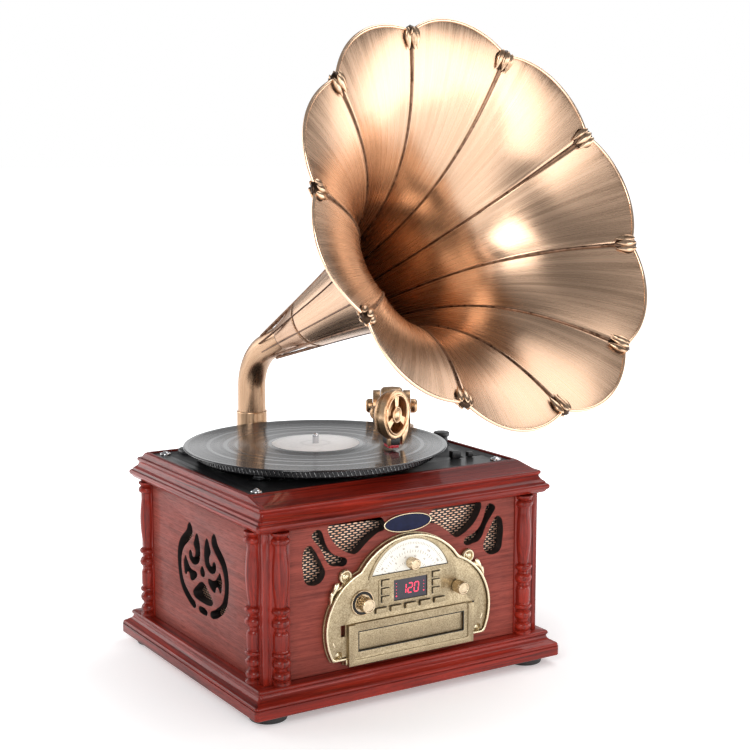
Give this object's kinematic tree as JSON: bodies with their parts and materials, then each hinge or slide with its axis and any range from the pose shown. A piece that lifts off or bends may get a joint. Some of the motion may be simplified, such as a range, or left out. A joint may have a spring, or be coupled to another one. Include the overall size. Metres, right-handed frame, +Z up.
{
  "type": "gramophone-style music centre",
  "caption": "Tabletop record player and radio with a gramophone horn: moulded wooden cabinet, turntable, arched faceplate, disc tray and a ten-petal flared horn on a rear bracket.",
  "frame": {"origin": "centre of the whole object's footprint box at floor level", "axes": "+X to the object's right as the front is faced, +Y to the back, +Z up"},
  "size_m": [0.4613, 0.5348, 0.7206],
  "materials": {
    "mahogany": "gloss",
    "board": "matt",
    "rubber": "matt",
    "mesh": "woven",
    "speaker": "matt",
    "deck_black": "satin",
    "chrome": "polished",
    "bush_brass": "turned",
    "motor_steel": "satin",
    "vinyl": "grooved",
    "black_plastic": "satin",
    "bronze": "brushed",
    "cartridge_black": "satin",
    "stylus_red": "gloss",
    "copper_horn": "brushed, lacquered",
    "rib_dark": "dark",
    "antique_brass": "cast, antiqued",
    "dial_white": "printed",
    "display_red": "gloss",
    "knob_brass": "polished",
    "drive_steel": "satin",
    "badge_navy": "enamel"
  },
  "bodies": {
    "cabinet": {"plinth": "mahogany", "base_board": "board", "feet": "rubber", "front_panel": "mahogany", "left_panel": "mahogany", "right_panel": "mahogany", "back_panel": "mahogany", "corner_posts": "mahogany", "columns": "mahogany", "grille_mesh": "mesh", "speakers": "speaker", "lid_frame": "mahogany", "deck_plate": "deck_black", "deck_screws": "chrome", "spindle_bush": "bush_brass", "motor": "motor_steel", "adapter_45": "black_plastic", "arm_base": "bronze", "horn_bracket": "bronze", "faceplate": "antique_brass", "plate_screws": "antique_brass", "dial_scale": "dial_white", "display": "display_red", "cd_drive": "drive_steel", "badge": "badge_navy", "rear_panel": "black_plastic"},
    "platter": {"platter": "black_plastic", "slip_mat": "rubber", "record": "vinyl", "spindle": "chrome"},
    "pulley": {"motor_pulley": "bush_brass"},
    "arm_swing": {"arm_yoke": "bronze"},
    "arm": {"arm_tube": "bronze", "soundbox_cup": "bronze", "soundbox_ring": "bronze", "cartridge": "cartridge_black", "stylus": "stylus_red"},
    "horn": {"elbow_pipe": "copper_horn", "throat_cone": "copper_horn", "horn_bell": "copper_horn", "horn_ribs": "rib_dark", "rim_clips": "rib_dark"},
    "tray": {"cd_tray": "antique_brass"},
    "tuning": {"tuning_knob": "knob_brass"},
    "volume": {"volume_knob": "knob_brass"},
    "function": {"function_knob": "knob_brass"},
    "speed": {"speed_knob": "black_plastic"},
    "stop": {"stop_switch": "black_plastic"},
    "pitch": {"pitch_slider": "black_plastic"},
    "button_left_1": {"button_left_1": "antique_brass"},
    "button_left_2": {"button_left_2": "antique_brass"},
    "button_left_3": {"button_left_3": "antique_brass"},
    "button_right_1": {"button_right_1": "antique_brass"},
    "button_right_2": {"button_right_2": "antique_brass"},
    "button_right_3": {"button_right_3": "antique_brass"},
    "button_row_1": {"button_row_1": "antique_brass"},
    "button_row_2": {"button_row_2": "antique_brass"},
    "button_row_3": {"button_row_3": "antique_brass"},
    "button_row_4": {"button_row_4": "antique_brass"},
    "button_row_5": {"button_row_5": "antique_brass"}
  },
  "joints": [
    {"name": "platter_spin", "type": "hinge", "parent": "cabinet", "child": "platter", "pos_m": [-0.0555, 0.074, 0.241], "axis": [0, 0, 1], "continuous": true},
    {"name": "pulley_spin", "type": "hinge", "parent": "cabinet", "child": "pulley", "pos_m": [-0.1615, 0.01, 0.23], "axis": [0, 0, 1], "continuous": true},
    {"name": "arm_swing", "type": "hinge", "parent": "cabinet", "child": "arm_swing", "pos_m": [0.1105, 0.171, 0.262], "axis": [0, 0, 1], "range_deg": [-10, 34]},
    {"name": "arm_lift", "type": "hinge", "parent": "arm_swing", "child": "arm", "pos_m": [0.1105, 0.171, 0.262], "axis": [-0.8434, 0.5373, 0], "range_deg": [0, 14]},
    {"name": "horn_swivel", "type": "hinge", "parent": "cabinet", "child": "horn", "pos_m": [-0.0475, 0.247, 0.259], "axis": [0, 0, 1], "range_deg": [-25, 20]},
    {"name": "tray_slide", "type": "slide", "parent": "cabinet", "child": "tray", "axis": [0, -1, 0], "range_m": [0, 0.11]},
    {"name": "tuning_turn", "type": "hinge", "parent": "cabinet", "child": "tuning", "pos_m": [-0.0365, -0.095, 0.1445], "axis": [0, -1, 0], "range_deg": [-130, 130]},
    {"name": "volume_turn", "type": "hinge", "parent": "cabinet", "child": "volume", "pos_m": [-0.097, -0.095, 0.1095], "axis": [0, -1, 0], "range_deg": [-280, 0]},
    {"name": "function_turn", "type": "hinge", "parent": "cabinet", "child": "function", "pos_m": [0.024, -0.095, 0.1095], "axis": [0, -1, 0], "range_deg": [-60, 60]},
    {"name": "speed_turn", "type": "hinge", "parent": "cabinet", "child": "speed", "pos_m": [0.1205, 0.075, 0.23], "axis": [0, 0, 1], "range_deg": [-35, 35]},
    {"name": "stop_slide", "type": "slide", "parent": "cabinet", "child": "stop", "axis": [1, 0, 0], "range_m": [0, 0.0056]},
    {"name": "pitch_slide", "type": "slide", "parent": "cabinet", "child": "pitch", "axis": [1, 0, 0], "range_m": [0, 0.012]},
    {"name": "button_left_1_press", "type": "slide", "parent": "cabinet", "child": "button_left_1", "axis": [0, 1, 0], "range_m": [0, 0.001], "stiffness_N_per_m": 400, "springref_m": -0.001},
    {"name": "button_left_2_press", "type": "slide", "parent": "cabinet", "child": "button_left_2", "axis": [0, 1, 0], "range_m": [0, 0.001], "stiffness_N_per_m": 400, "springref_m": -0.001},
    {"name": "button_left_3_press", "type": "slide", "parent": "cabinet", "child": "button_left_3", "axis": [0, 1, 0], "range_m": [0, 0.001], "stiffness_N_per_m": 400, "springref_m": -0.001},
    {"name": "button_right_1_press", "type": "slide", "parent": "cabinet", "child": "button_right_1", "axis": [0, 1, 0], "range_m": [0, 0.001], "stiffness_N_per_m": 400, "springref_m": -0.001},
    {"name": "button_right_2_press", "type": "slide", "parent": "cabinet", "child": "button_right_2", "axis": [0, 1, 0], "range_m": [0, 0.001], "stiffness_N_per_m": 400, "springref_m": -0.001},
    {"name": "button_right_3_press", "type": "slide", "parent": "cabinet", "child": "button_right_3", "axis": [0, 1, 0], "range_m": [0, 0.001], "stiffness_N_per_m": 400, "springref_m": -0.001},
    {"name": "button_row_1_press", "type": "slide", "parent": "cabinet", "child": "button_row_1", "axis": [0, 1, 0], "range_m": [0, 0.001], "stiffness_N_per_m": 400, "springref_m": -0.001},
    {"name": "button_row_2_press", "type": "slide", "parent": "cabinet", "child": "button_row_2", "axis": [0, 1, 0], "range_m": [0, 0.001], "stiffness_N_per_m": 400, "springref_m": -0.001},
    {"name": "button_row_3_press", "type": "slide", "parent": "cabinet", "child": "button_row_3", "axis": [0, 1, 0], "range_m": [0, 0.001], "stiffness_N_per_m": 400, "springref_m": -0.001},
    {"name": "button_row_4_press", "type": "slide", "parent": "cabinet", "child": "button_row_4", "axis": [0, 1, 0], "range_m": [0, 0.001], "stiffness_N_per_m": 400, "springref_m": -0.001},
    {"name": "button_row_5_press", "type": "slide", "parent": "cabinet", "child": "button_row_5", "axis": [0, 1, 0], "range_m": [0, 0.001], "stiffness_N_per_m": 400, "springref_m": -0.001}
  ],
  "couplings": [
    {"joint": "pulley_spin", "follows": "platter_spin", "ratio": 16.923}
  ]
}
